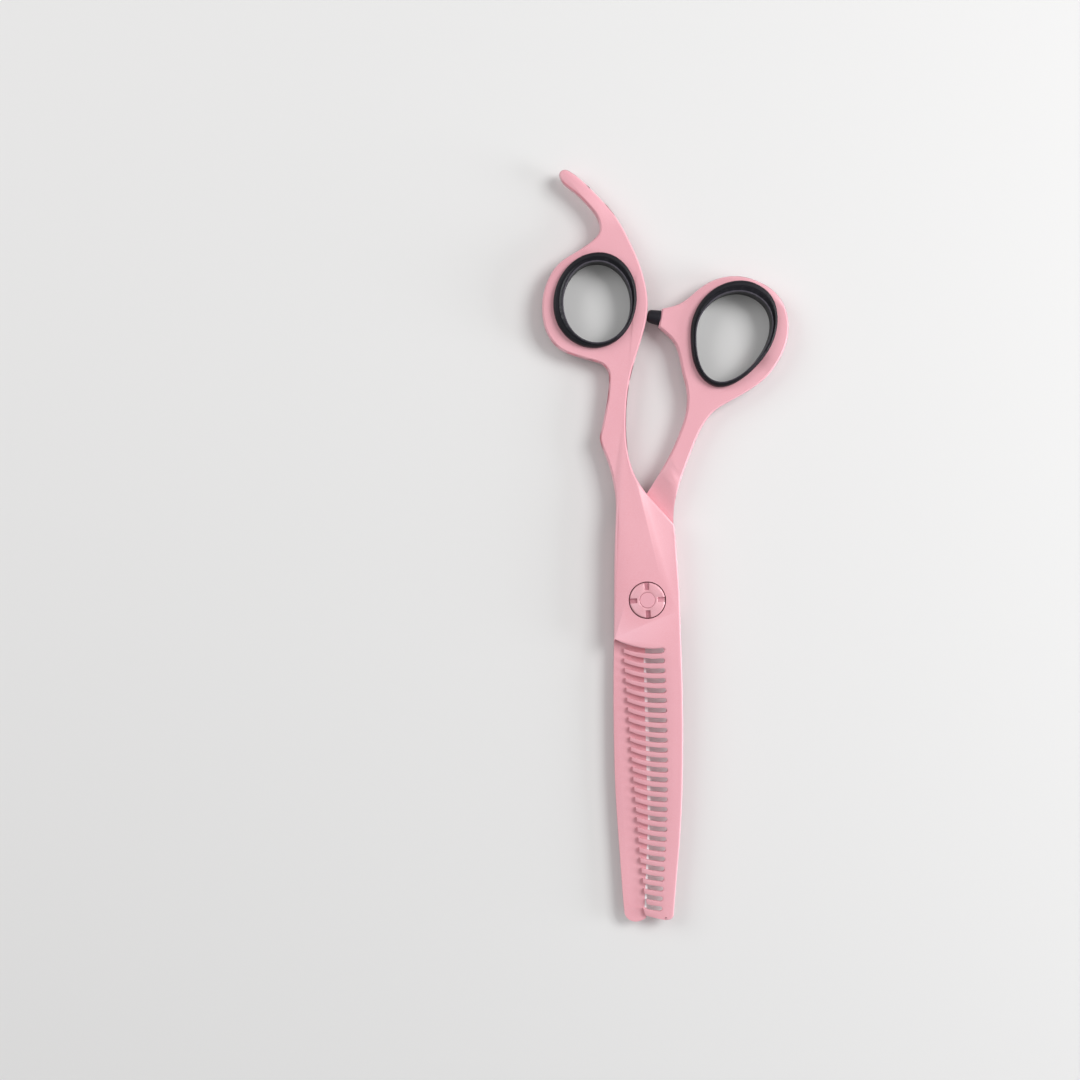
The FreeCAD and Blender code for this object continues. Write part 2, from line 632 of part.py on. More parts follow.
def tension_dial():
    """Round nut with four finger notches on top and a circle of detents underneath."""
    low = DIAL_TOP - DIAL_THICKNESS
    dial = turned([
        (THREAD_RADIUS + THREAD_CLEARANCE, low), (DIAL_RADIUS, low), (DIAL_RADIUS, DIAL_TOP - CHAMFER),
        (DIAL_RADIUS - CHAMFER, DIAL_TOP), (THREAD_RADIUS + THREAD_CLEARANCE, DIAL_TOP),
    ])
    length = DIAL_RADIUS - NOTCH_INNER_RADIUS
    notch_corner = Vector(-NOTCH_WIDTH / 2, NOTCH_INNER_RADIUS, DIAL_TOP - NOTCH_DEPTH)
    notch = Part.makeBox(NOTCH_WIDTH, length + 1, NOTCH_DEPTH + 1, notch_corner)
    detent = Part.makeCone(DETENT_RADIUS, DETENT_RADIUS / 3, DETENT_DEPTH, Vector(DETENT_CIRCLE, 0, low))
    return dial.cut(around(notch, NOTCH_COUNT, NOTCH_TURN) + around(detent, DETENT_COUNT))


NODES = [
    comb_half, plain_half, finger_ring_insert, thumb_ring_insert, bumper_cap, bumper_stud, pivot_bolt,
    pivot_sleeve, blade_washer, friction_washer, click_spring, tension_dial,
]

os.makedirs("parts", exist_ok=True)
for make in NODES:
    solid = make().Solids[0]
    print(make.__name__, solid.isValid(), round(solid.Volume, 2), solid.optimalBoundingBox())
    solid.exportStep(f"parts/{make.__name__}.step")
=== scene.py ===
import math

import bmesh
import bpy
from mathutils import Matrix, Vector, kdtree


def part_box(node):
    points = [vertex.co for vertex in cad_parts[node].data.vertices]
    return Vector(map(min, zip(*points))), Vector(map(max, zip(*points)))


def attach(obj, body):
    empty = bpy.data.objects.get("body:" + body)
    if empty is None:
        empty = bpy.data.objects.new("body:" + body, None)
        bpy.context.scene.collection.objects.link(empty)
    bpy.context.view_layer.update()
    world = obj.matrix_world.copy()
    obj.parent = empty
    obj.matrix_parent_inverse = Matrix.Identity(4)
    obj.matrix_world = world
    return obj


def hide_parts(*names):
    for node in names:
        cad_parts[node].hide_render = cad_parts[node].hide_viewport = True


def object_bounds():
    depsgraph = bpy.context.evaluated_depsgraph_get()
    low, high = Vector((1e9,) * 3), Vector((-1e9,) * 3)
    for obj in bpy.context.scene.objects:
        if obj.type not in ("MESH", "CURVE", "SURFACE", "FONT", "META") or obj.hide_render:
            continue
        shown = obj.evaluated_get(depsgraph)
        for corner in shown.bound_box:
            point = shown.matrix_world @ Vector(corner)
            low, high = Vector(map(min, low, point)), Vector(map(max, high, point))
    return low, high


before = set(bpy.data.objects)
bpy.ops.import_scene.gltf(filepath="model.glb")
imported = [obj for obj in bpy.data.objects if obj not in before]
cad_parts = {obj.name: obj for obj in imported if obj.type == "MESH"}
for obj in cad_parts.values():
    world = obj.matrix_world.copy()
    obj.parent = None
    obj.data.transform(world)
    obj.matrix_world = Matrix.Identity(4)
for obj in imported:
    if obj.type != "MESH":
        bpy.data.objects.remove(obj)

cad_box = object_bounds()
MM = 0.001


# ---- Comb half -----------------------------------------------------------------------------------------
# The upper half: comb blade, shank, finger ring and finger rest, forged in one piece of stainless steel,
# ground, then given a satin pink coating. It is the CAD part with its outline rounded over and its handle
# lowered near its edges.

def deselect_all():
    bpy.ops.object.select_all(action="DESELECT")


def start_from(node, name):
    """A new piece on a merged copy of the node's mesh, active and alone in the selection."""
    deselect_all()
    piece = bpy.data.objects.new(name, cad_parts[node].data.copy())
    bpy.context.scene.collection.objects.link(piece)
    piece.data.name = name
    piece.data.materials.clear()
    piece.select_set(True)
    bpy.context.view_layer.objects.active = piece
    bpy.ops.object.mode_set(mode="EDIT")
    bpy.ops.mesh.select_all(action="SELECT")
    bpy.ops.mesh.customdata_custom_splitnormals_clear()
    bpy.ops.mesh.remove_doubles(threshold=0.03 * MM)
    bpy.ops.mesh.dissolve_limited(angle_limit=math.radians(0.4))
    return piece


def choose_faces(piece, test):
    """Selects, in edit mode, only the faces that pass the test."""
    bpy.ops.mesh.select_mode(type="FACE")
    bpy.ops.mesh.select_all(action="DESELECT")
    mesh = bmesh.from_edit_mesh(piece.data)
    for face in mesh.faces:
        if test(face):
            face.select_set(True)
    bmesh.update_edit_mesh(piece.data)


def choose_edges(piece, test):
    """Selects, in edit mode, only the edges that pass the test."""
    bpy.ops.mesh.select_mode(type="EDGE")
    bpy.ops.mesh.select_all(action="DESELECT")
    mesh = bmesh.from_edit_mesh(piece.data)
    for edge in mesh.edges:
        if len(edge.link_faces) == 2 and test(edge):
            edge.select_set(True)
    bmesh.update_edit_mesh(piece.data)


def paint_faces(piece, material, test):
    """Gives the faces that pass the test a further material of their own."""
    piece.data.materials.append(material)
    number = len(piece.data.materials) - 1
    for face in piece.data.polygons:
        if test(face):
            face.material_index = number


RIM_LOOPS = (0.03, 0.05, 0.08, 0.11, 0.14)
GRID_STEP = 0.6 * MM
UPPER_SIDE = 4.3 * MM
LOWER_SIDE = 2.1 * MM


def turned_over(face):
    """A face of an outer side that a rim loop has folded over, at a tight corner."""
    height = face.calc_center_median().z
    return height > UPPER_SIDE and face.normal.z < -0.5 or height < LOWER_SIDE and face.normal.z > 0.5


def add_rim_loops(piece, outer_face):
    """Loops that follow the outline of a face, close together, for its edge to be rounded with."""
    choose_faces(piece, outer_face)
    for width in RIM_LOOPS:
        bpy.ops.mesh.inset(thickness=width * MM, use_boundary=True, use_even_offset=False)
    choose_faces(piece, turned_over)
    bpy.ops.mesh.merge(type="COLLAPSE")


def add_grid(low, high):
    """Cuts what is selected into small cells, between two corners, so that it can be curved."""
    bpy.ops.mesh.hide(unselected=True)
    for axis, normal in ((0, (1, 0, 0)), (1, (0, 1, 0))):
        for step in range(1, int((high[axis] - low[axis]) / GRID_STEP)):
            place = [0, 0, 0]
            place[axis] = low[axis] + step * GRID_STEP
            bpy.ops.mesh.select_all(action="SELECT")
            bpy.ops.mesh.bisect(plane_co=place, plane_no=normal)
    bpy.ops.mesh.select_all(action="SELECT")
    bpy.ops.mesh.dissolve_degenerate(threshold=0.01 * MM)
    bpy.ops.mesh.reveal()


def smooth_step(low, high, value):
    """0 up to low, 1 from high on, and an even S between them."""
    share = min(1.0, max(0.0, (value - low) / (high - low)))
    return share * share * (3 - 2 * share)


def outline_edges(mesh, outer_face):
    """Edges where the outer face meets a side wall, apart from those of the round pocket at the pivot."""
    edges = []
    for edge in mesh.edges:
        outer = [face for face in edge.link_faces if outer_face(face)]
        walls = [face for face in edge.link_faces if abs(face.normal.z) < 0.5]
        middle = (edge.verts[0].co + edge.verts[1].co) / 2
        if len(outer) == 1 and len(walls) == 1 and middle.to_2d().length > POCKET_RADIUS:
            edges.append(edge)
    return edges


def distance_finder(edges):
    """A function that gives the level distance from a point to the nearest of the edges."""
    samples = []
    for edge in edges:
        start, stop = (vert.co.to_2d() for vert in edge.verts)
        count = 1 + int((stop - start).length / (0.25 * MM))
        samples += [(start.lerp(stop, (step + 0.5) / count), start, stop) for step in range(count)]
    tree = kdtree.KDTree(len(samples))
    for number, (place, _, _) in enumerate(samples):
        tree.insert(place.to_3d(), number)
    tree.balance()

    def distance(point):
        flat = point.to_2d()
        best = math.inf
        for _, number, _ in tree.find_n(flat.to_3d(), 8):
            _, start, stop = samples[number]
            run = stop - start
            share = min(1.0, max(0.0, (flat - start).dot(run) / max(run.length_squared, 1e-18)))
            best = min(best, (flat - start - run * share).length)
        return best

    return distance


MID_Z = (cad_box[0][2] + cad_box[1][2]) / 2
POCKET_RADIUS = 4.4 * MM
EDGE_RADIUS = 0.42 * MM
CROWN_DEPTH = 0.95 * MM
CROWN_WIDTH = 2.7 * MM
DISH_WIDTH = 3.2 * MM
EVEN_DISH = 0.3 * MM
HANDLE_START = 14 * MM
PALE_EDGE = 0.3 * MM
HOLE_LIMIT = 1.13
THINNEST = 0.35 * MM
FULL_DROP = 1.85 * MM


def quarter_round(distance, radius):
    """How far a rounded edge has dropped at a distance in from the outline."""
    rest = max(0.0, radius - distance)
    return radius - math.sqrt(max(0.0, radius * radius - rest * rest))


def sculpt(piece, outer_face, up, insert, handle_share, dish, ridge):
    """Rounds an outer face over along its outline, lowers its handle near the edges and hollows its ring
    towards the insert, wherever the mesh has points. up is 1 on the upper side and -1 below. handle_share,
    dish and ridge are functions of a point."""
    mesh = bmesh.new()
    mesh.from_mesh(piece.data)
    mesh.normal_update()
    rim = outline_edges(mesh, outer_face)
    low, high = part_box(insert)
    centre, half = (low + high) / 2, (high - low) / 2

    def in_hole(edge):
        middle = (edge.verts[0].co + edge.verts[1].co) / 2
        return ((middle.x - centre.x) / half.x) ** 2 + ((middle.y - centre.y) / half.y) ** 2 < HOLE_LIMIT

    to_rim = distance_finder(rim)
    to_hole = distance_finder([edge for edge in rim if in_hole(edge)])
    near_rim = mesh.verts.layers.float.get("near_rim") or mesh.verts.layers.float.new("near_rim")
    points = {vert for face in mesh.faces if outer_face(face) for vert in face.verts}
    drops = {}
    for vert in points:
        away = to_rim(vert.co)
        share = handle_share(vert.co)
        inner = max(0.0, 1 - away / CROWN_WIDTH)
        hollow = max(0.0, 1 - to_hole(vert.co) / DISH_WIDTH)
        on_ramp = share < 1 and vert.co.y > HANDLE_START
        drops[vert] = (
            quarter_round(away, EDGE_RADIUS) * (0.25 + 0.75 * share if on_ramp else 1)
            + share * (CROWN_DEPTH * inner ** 2 + dish(vert.co) * hollow ** 1.5 + ridge(vert.co))
        )
        drops[vert] *= min(1.0, max(0.0, (abs(vert.co.z - MID_Z) - THINNEST) / FULL_DROP))
        # near_rim is 1 at the outline and fades inwards; the coat uses it to paint a pale highlight along the
        # rounded edges.
        vert[near_rim] = math.exp(-away / PALE_EDGE)
    for vert, drop in drops.items():
        vert.co.z -= up * drop
    mesh.to_mesh(piece.data)
    mesh.free()


def even_dish(point):
    """The hollow of a ring that is dished evenly all round."""
    return EVEN_DISH


def no_ridge(point):
    return 0.0


HALF_GAP = 0.05 * MM
LAP_NORMAL = Vector((0.752, 0.659))
LAP_START = 16.3 * MM
LAP_FADE = 9 * MM
SHANK_FADE_END = 30 * MM


def up_the_shank(point):
    """How far a point is up the handle, on the side that meets no step."""
    return smooth_step(HANDLE_START, SHANK_FADE_END, point.y)


def past_the_lap(side):
    """How far a point is past the step where the halves cross: side is 1 for the shank that leans to +X."""
    normal = Vector((side * LAP_NORMAL.x, LAP_NORMAL.y))
    return lambda point: smooth_step(LAP_START, LAP_START + LAP_FADE, point.to_2d().dot(normal))


RIDGE_LINE = ((-5.7, 30), (-6.5, 36), (-6.6, 41), (-6.4, 47), (-5.2, 52.5), (-3.8, 57.4), (-2.6, 62))


def finger_shank_ridge(point):
    """The faint crest that runs up the finger shank: the surface falls away evenly on both sides of it."""
    y = point.y / MM
    if not RIDGE_LINE[0][1] < y < RIDGE_LINE[-1][1]:
        return 0.0
    for (x0, y0), (x1, y1) in zip(RIDGE_LINE, RIDGE_LINE[1:]):
        if y0 <= y <= y1:
            crest = (x0 + (x1 - x0) * (y - y0) / (y1 - y0)) * MM
    fade = smooth_step(30, 36, y) * (1 - smooth_step(54, 62, y))
    aside = abs(point.x - crest)
    soft = 0.25 * MM
    return fade * 0.2 * min(2 * MM, math.sqrt(aside * aside + soft * soft) - soft)


MARGIN_LINE = ((4.4, -12.5), (5.2, -38.0), (4.1, -66.0), (3.6, -79.0))


def margin_x(y):
    """A line just right of the slots' closed ends, from the second slot down. Left of it edges stay crisp."""
    for (x0, y0), (x1, y1) in zip(MARGIN_LINE, MARGIN_LINE[1:]):
        if y1 * MM <= y <= y0 * MM:
            return (x0 + (x1 - x0) * (y / MM - y0) / (y1 - y0)) * MM
    return MARGIN_LINE[-1][0] * MM


LEVEL = 0.995
OUTER_SIDE = 0.6 * MM
POCKET_TOP = 5.2 * MM


def comb_flat(face):
    """A face of the comb half's flat upper side."""
    above = face.calc_center_median().z > MID_Z + OUTER_SIDE
    return face.normal.z > LEVEL and above and not in_pocket(face)


def in_slot_margin(face):
    centre = face.calc_center_median()
    return comb_flat(face) and centre.y < MARGIN_LINE[0][1] * MM and centre.x < margin_x(centre.y)


def comb_upper(face):
    return comb_flat(face) and not in_slot_margin(face)


def in_pocket(face):
    centre = face.calc_center_median()
    return centre.to_2d().length < POCKET_RADIUS and centre.z < POCKET_TOP


def comb_lower(face):
    return face.normal.z < -0.6 and face.calc_center_median().z < MID_Z - 2 * HALF_GAP


SHOULDER_Y = -10.2 * MM
CREST_LEFT = 3.2 * MM
CREST_WIDTH = 1.8 * MM
TOOTH_EDGE = 0.08 * MM
CUT_TOLERANCE = 0.001 * MM


def on_tooth(face):
    return 0.9 < face.normal.z < LEVEL and face.calc_center_median().z > MID_Z + 0.5 * MM


def tooth_edge(edge):
    tops = [face for face in edge.link_faces if on_tooth(face) or in_slot_margin(face)]
    walls = [face for face in edge.link_faces if abs(face.normal.z) < 0.3]
    return len(tops) == 1 and len(walls) == 1


def tooth_lean(y):
    """How steeply the teeth slope down towards their tips."""
    return 0.167 - 0.067 * min(1.0, max(0.0, (-11 - y / MM) / 59))


def roll_crest(piece):
    """Blends the flat back of the comb into the sloping teeth, which come down as much as that takes."""
    mesh = bmesh.new()
    mesh.from_mesh(piece.data)
    mesh.normal_update()
    crest = [
        edge for edge in mesh.edges
        if sum(comb_flat(face) for face in edge.link_faces) == 1
        and sum(on_tooth(face) for face in edge.link_faces) == 1
    ]
    to_crest = distance_finder(crest)
    flat = {vert for face in mesh.faces if comb_flat(face) for vert in face.verts}
    teeth = {vert for vert in mesh.verts if vert.co.y < SHOULDER_Y and vert.co.z > MID_Z + 0.5 * MM} - flat
    for vert in teeth:
        vert.co.z -= tooth_lean(vert.co.y) * CREST_WIDTH / 2
    for vert in flat:
        if vert.co.y < SHOULDER_Y + CREST_WIDTH:
            rest = max(0.0, CREST_WIDTH - to_crest(vert.co))
            vert.co.z -= tooth_lean(vert.co.y) * rest * rest / (2 * CREST_WIDTH)
    mesh.to_mesh(piece.data)
    mesh.free()


low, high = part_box("comb_half")
comb = start_from("comb_half", "comb_half_coated")
for _, node_y in MARGIN_LINE[:-1]:
    choose_faces(comb, comb_flat)
    bpy.ops.mesh.bisect(plane_co=(0, node_y * MM, 0), plane_no=(0, 1, 0), threshold=CUT_TOLERANCE)
for (x0, y0), (x1, y1) in zip(MARGIN_LINE, MARGIN_LINE[1:]):
    choose_faces(comb, lambda face: comb_flat(face) and y1 * MM < face.calc_center_median().y < y0 * MM)
    across = Vector((y0 - y1, x1 - x0, 0)).normalized()
    bpy.ops.mesh.bisect(plane_co=(x0 * MM, y0 * MM, 0), plane_no=across, threshold=CUT_TOLERANCE)
choose_edges(comb, tooth_edge)
bpy.ops.mesh.bevel(offset=TOOTH_EDGE, segments=2, affect="EDGES", clamp_overlap=True)
for outer_face in (comb_upper, comb_lower):
    add_rim_loops(comb, outer_face)
choose_faces(comb, comb_flat)
bpy.ops.mesh.bisect(plane_co=(0, SHOULDER_Y, 0), plane_no=(0, 1, 0))
choose_faces(comb, lambda face: comb_flat(face) and face.calc_center_median().y < SHOULDER_Y)
add_grid((CREST_LEFT, low.y), (high.x, SHOULDER_Y))
bpy.ops.object.mode_set(mode="OBJECT")
roll_crest(comb)
sculpt(comb, comb_upper, 1, "finger_ring_insert", up_the_shank, even_dish, finger_shank_ridge)
sculpt(comb, comb_lower, -1, "finger_ring_insert", past_the_lap(-1), even_dish, no_ridge)
bpy.ops.object.shade_smooth_by_angle(angle=math.radians(36))


def new_group(name, inputs, outputs):
    """An empty node group with numbers for inputs and outputs."""
    group = bpy.data.node_groups.new(name, "ShaderNodeTree")
    for title, value in inputs.items():
        socket = group.interface.new_socket(title, in_out="INPUT", socket_type="NodeSocketFloat")
        socket.default_value = value
    for title in outputs:
        group.interface.new_socket(title, in_out="OUTPUT", socket_type="NodeSocketFloat")
    return group, group.nodes.new("NodeGroupInput"), group.nodes.new("NodeGroupOutput")


def sprayed_grain():
    """Broad unevenness and the fine grain of a sprayed or moulded skin, on Object coordinates."""
    group, given, out = new_group("skin_grain", {"Broad": 70.0, "Fine": 3500.0}, ("Broad", "Fine"))
    place = group.nodes.new("ShaderNodeTexCoord")
    for title, detail in (("Broad", 2.0), ("Fine", 3.0)):
        noise = group.nodes.new("ShaderNodeTexNoise")
        noise.inputs["Detail"].default_value = detail
        group.links.new(place.outputs["Object"], noise.inputs["Vector"])
        group.links.new(given.outputs[title], noise.inputs["Scale"])
        group.links.new(noise.outputs["Fac"], out.inputs[title])
    return group


def ground_lines():
    """Grinding marks that run along the shears, on Object coordinates."""
    group, given, out = new_group("ground_lines", {"Across": 2600.0, "Along": 40.0}, ("Lines",))
    place = group.nodes.new("ShaderNodeTexCoord")
    stretch = group.nodes.new("ShaderNodeCombineXYZ")
    group.links.new(given.outputs["Across"], stretch.inputs["X"])
    group.links.new(given.outputs["Along"], stretch.inputs["Y"])
    group.links.new(given.outputs["Across"], stretch.inputs["Z"])
    scaled = group.nodes.new("ShaderNodeVectorMath")
    scaled.operation = "MULTIPLY"
    group.links.new(place.outputs["Object"], scaled.inputs[0])
    group.links.new(stretch.outputs["Vector"], scaled.inputs[1])
    noise = group.nodes.new("ShaderNodeTexNoise")
    noise.inputs["Scale"].default_value = 1.0
    noise.inputs["Detail"].default_value = 3.0
    group.links.new(scaled.outputs["Vector"], noise.inputs["Vector"])
    group.links.new(noise.outputs["Fac"], out.inputs["Lines"])
    return group


SKIN_GRAIN = sprayed_grain()
GROUND_LINES = ground_lines()


def new_material(name):
    material = bpy.data.materials.new(name)
    material.use_nodes = True
    nodes = material.node_tree.nodes
    return material, nodes, material.node_tree.links, nodes["Principled BSDF"]


def group_node(nodes, group, **values):
    node = nodes.new("ShaderNodeGroup")
    node.node_tree = group
    for title, value in values.items():
        node.inputs[title].default_value = value
    return node


def colour_mix(nodes, links, share, first, second):
    """The socket of a mix of two colours, each a plain colour or a socket, by a socket's value."""
    mix = nodes.new("ShaderNodeMix")
    mix.data_type = "RGBA"
    links.new(share, mix.inputs["Factor"])
    for title, colour in (("A", first), ("B", second)):
        socket = next(s for s in mix.inputs if s.name == title and s.type == "RGBA")
        if isinstance(colour, tuple):
            socket.default_value = (*colour, 1)
        else:
            links.new(colour, socket)
    return next(s for s in mix.outputs if s.type == "RGBA")


def ranged(nodes, links, source, low, high, start=0.3, stop=0.7):
    """A socket's value brought from one range to another."""
    node = nodes.new("ShaderNodeMapRange")
    node.inputs["From Min"].default_value = start
    node.inputs["From Max"].default_value = stop
    node.inputs["To Min"].default_value = low
    node.inputs["To Max"].default_value = high
    links.new(source, node.inputs["Value"])
    return node.outputs["Result"]


def bumped(nodes, links, height, distance, before=None):
    """A Bump node's normal, for a height given as a socket and its depth in metres."""
    bump = nodes.new("ShaderNodeBump")
    bump.inputs["Distance"].default_value = distance
    links.new(height, bump.inputs["Height"])
    if before:
        links.new(before, bump.inputs["Normal"])
    return bump.outputs["Normal"]


def coat_material(name, deep, pale, rim, rim_highlight_share):
    """Satin coating sprayed on ground steel, paler along the edges: a painted highlight on the rounded rims.
    """
    material, nodes, links, shader = new_material(name)
    grain = group_node(nodes, SKIN_GRAIN, Broad=55.0, Fine=5200.0)
    lines = group_node(nodes, GROUND_LINES, Across=2600.0, Along=40.0)
    edge_highlight = nodes.new("ShaderNodeAttribute")
    edge_highlight.attribute_name = "near_rim"
    tint = ranged(nodes, links, grain.outputs["Broad"], 0.0, 1.0)
    colour = colour_mix(nodes, links, tint, deep, pale)
    speck = ranged(nodes, links, grain.outputs["Fine"], 0.0, 0.22)
    colour = colour_mix(nodes, links, speck, colour, rim)
    # Painted highlight: near the outline the colour is pushed towards the rim colour, for the light caught by
    # the rounded edge.
    painted_highlight = ranged(nodes, links, edge_highlight.outputs["Fac"], 0.0, rim_highlight_share, 0.15, 1.0)
    links.new(colour_mix(nodes, links, painted_highlight, colour, rim), shader.inputs["Base Color"])
    links.new(ranged(nodes, links, grain.outputs["Fine"], 0.34, 0.44), shader.inputs["Roughness"])
    ground = bumped(nodes, links, lines.outputs["Lines"], 0.003 * MM)
    links.new(bumped(nodes, links, grain.outputs["Fine"], 0.008 * MM, ground), shader.inputs["Normal"])
    shader.inputs["Coat Weight"].default_value = 0.22
    shader.inputs["Coat Roughness"].default_value = 0.16
    return material


PINK = (0.77, 0.345, 0.395)
PALE_PINK = (0.82, 0.39, 0.44)
# RIM_PINK is the colour of the fine specks and of the painted edge highlight.
RIM_PINK = (0.90, 0.60, 0.69)
pink = coat_material("satin_pink_coat", PINK, PALE_PINK, RIM_PINK, 0.32)
# The pocket round the dial is painted near-black maroon: painted shade for the deep gap, not a colour of the
# coat.
painted_pocket_shade = coat_material("pocket_painted_shade", (0.26, 0.006, 0.02), (0.32, 0.012, 0.03), (0.36, 0.02, 0.04), 0.0)
painted_pocket_shade.node_tree.nodes["Principled BSDF"].inputs["Specular IOR Level"].default_value = 0.1
painted_pocket_shade.node_tree.nodes["Principled BSDF"].inputs["Coat Weight"].default_value = 0.0
comb.data.materials.append(pink)
PAINTED_RADIUS = 4.25 * MM
PAINTED_BOTTOM = 4 * MM
PAINTED_TOP = 5.6 * MM


def in_dial_gap(face):
    place = face.center
    return place.to_2d().length < PAINTED_RADIUS and PAINTED_BOTTOM < place.z < PAINTED_TOP


# The faces of the gap round the dial take the painted shade.
paint_faces(comb, painted_pocket_shade, in_dial_gap)
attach(comb, "finger_half")
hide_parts("comb_half")


# ---- Pivot sleeve --------------------------------------------------------------------------------------
# A bush of sintered bronze, pressed into the comb half's bore, which turns on the bolt's polished shaft. It
# was turned on a lathe, so fine rings run round it.

def turned_rings():
    """Lathe marks round the pivot axis, on Object coordinates."""
    group, given, out = new_group("turned_rings", {"Scale": 9000.0}, ("Rings",))
    place = group.nodes.new("ShaderNodeTexCoord")
    apart = group.nodes.new("ShaderNodeSeparateXYZ")
    group.links.new(place.outputs["Object"], apart.inputs["Vector"])
    level = group.nodes.new("ShaderNodeCombineXYZ")
    group.links.new(apart.outputs["X"], level.inputs["X"])
    group.links.new(apart.outputs["Y"], level.inputs["Y"])
    radius = group.nodes.new("ShaderNodeVectorMath")
    radius.operation = "LENGTH"
    group.links.new(level.outputs["Vector"], radius.inputs[0])
    both = group.nodes.new("ShaderNodeMath")
    group.links.new(radius.outputs["Value"], both.inputs[0])
    group.links.new(apart.outputs["Z"], both.inputs[1])
    noise = group.nodes.new("ShaderNodeTexNoise")
    noise.noise_dimensions = "1D"
    noise.inputs["Detail"].default_value = 2.0
    group.links.new(both.outputs["Value"], noise.inputs["W"])
    group.links.new(given.outputs["Scale"], noise.inputs["Scale"])
    group.links.new(noise.outputs["Fac"], out.inputs["Rings"])
    return group


TURNED_RINGS = turned_rings()


def turned_metal(name, dark, light, roughness, metallic=1.0, depth=0.006):
    """Metal with lathe marks, and a little darker and duller in patches."""
    material, nodes, links, shader = new_material(name)
    rings = group_node(nodes, TURNED_RINGS, Scale=9000.0)
    grain = group_node(nodes, SKIN_GRAIN, Broad=400.0, Fine=6000.0)
    tint = ranged(nodes, links, grain.outputs["Broad"], 0.0, 1.0)
    links.new(colour_mix(nodes, links, tint, dark, light), shader.inputs["Base Color"])
    dull = ranged(nodes, links, rings.outputs["Rings"], roughness - 0.08, roughness + 0.1)
    links.new(dull, shader.inputs["Roughness"])
    links.new(bumped(nodes, links, rings.outputs["Rings"], depth * MM), shader.inputs["Normal"])
    shader.inputs["Metallic"].default_value = metallic
    return material


def dress(node, material):
    """Gives a CAD node's object its material."""
    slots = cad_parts[node].data.materials
    slots.clear()
    slots.append(material)


dress("pivot_sleeve", turned_metal("bush_bronze", (0.52, 0.30, 0.13), (0.66, 0.42, 0.20), 0.34))


# ---- Finger ring insert --------------------------------------------------------------------------------
# A soft black rubber sleeve, moulded in one piece and pushed into the ring from one side. Its lips close over
# both faces of the ring, and a bead runs round the opening's edge.

RING_STEPS = 168
INSERT_HEIGHT = 6.4
UPPER_LIP = (
    (0.0, 4.3), (0.0, 5.5), (0.06, 5.8), (0.18, 6.08), (0.36, 6.29), (0.6, 6.38),
)
LIP_GROOVE = ((0.46, 6.38), (0.49, 6.24), (0.54, 6.24), (0.57, 6.32))
UPPER_BEAD = (
    (-0.42, 5.86), (-0.36, 5.84), (-0.3, 5.95), (-0.2, 6.02),
    (-0.1, 6.0), (-0.02, 5.88), (0.0, 5.7), (0.0, 4.4),
)
LIP_HEIGHT = 6.0 * MM
FAR_OUTSIDE = 0.05
BEAD_REACH = 0.38 * MM
BEAD_BOTTOM = 5.8


def wall_radius(node, centre, height, angle, outside):
    """How far the node's wall is from the centre, seen from far outside or from within the opening."""
    heading = Vector((math.cos(angle), math.sin(angle), 0))
    start = Vector((centre.x, centre.y, height)) + heading * (FAR_OUTSIDE if outside else 0.0)
    _, place, _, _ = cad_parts[node].ray_cast(start, -heading if outside else heading)
    return (place - Vector((centre.x, centre.y, height))).length


def evened(radii):
    """Each radius averaged with its neighbours, round the ring."""
    count = len(radii)
    return [sum(radii[(number + step) % count] for step in (-2, -1, 0, 1, 2)) / 5 for number in range(count)]


def section_row(number, outer, inner):
    """One point of the rubber's section at a place round the ring, as (radius, height), from the top down."""
    width = outer - inner
    upper = [(outer - away * MM, height) for away, height in UPPER_LIP]
    upper += [(outer - width * share, height) for share, height in LIP_GROOVE]
    upper += [(inner - away * MM, height) for away, height in UPPER_BEAD]
    whole = upper + [(radius, INSERT_HEIGHT - height) for radius, height in reversed(upper)]
    return whole[number]


def moulded_insert(node, name):
    """A ring of rows, each extruded from the one before and set to its place on the section, then closed."""
    low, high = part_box(node)
    centre = (low + high) / 2
    angles = [2 * math.pi * (step + 0.5) / RING_STEPS for step in range(RING_STEPS)]
    outer = evened([wall_radius(node, centre, LIP_HEIGHT, angle, True) for angle in angles])
    inner = evened([wall_radius(node, centre, LIP_HEIGHT, angle, False) for angle in angles])
    deselect_all()
    bpy.ops.mesh.primitive_circle_add(vertices=RING_STEPS, radius=10 * MM, location=(centre.x, centre.y, 0))
    piece = bpy.context.object
    piece.name = piece.data.name = name
    piece.data.attributes.new("bead", "FLOAT", "POINT")
    bpy.ops.object.transform_apply(location=True, rotation=True, scale=True)
    bpy.ops.object.mode_set(mode="EDIT")
    row_count = 2 * (len(UPPER_LIP) + len(LIP_GROOVE) + len(UPPER_BEAD))
    for row in range(row_count):
        if row:
            bpy.ops.mesh.extrude_edges_move()
        mesh = bmesh.from_edit_mesh(piece.data)
        bead = mesh.verts.layers.float["bead"]
        for vert in mesh.verts:
            if vert.select:
                turn = math.atan2(vert.co.y - centre.y, vert.co.x - centre.x) % (2 * math.pi)
                number = round(turn / (2 * math.pi) * RING_STEPS - 0.5) % RING_STEPS
                radius, height = section_row(row, outer[number], inner[number])
                angle = angles[number]
                # Marks the top of the bead, which the rubber material paints lighter as a painted highlight.
                vert[bead] = float(inner[number] + BEAD_REACH > radius and height > BEAD_BOTTOM)
                vert.co = (
                    centre.x + radius * math.cos(angle),
                    centre.y + radius * math.sin(angle),
                    height * MM,
                )
        bmesh.update_edit_mesh(piece.data)
    bpy.ops.mesh.select_mode(type="EDGE")
    bpy.ops.mesh.select_all(action="DESELECT")
    bpy.ops.mesh.select_non_manifold(extend=False)
    bpy.ops.mesh.bridge_edge_loops()
    bpy.ops.mesh.select_all(action="SELECT")
    bpy.ops.mesh.normals_make_consistent(inside=False)
    bpy.ops.object.mode_set(mode="OBJECT")
    bpy.ops.object.shade_smooth_by_angle(angle=math.radians(40))
    return piece


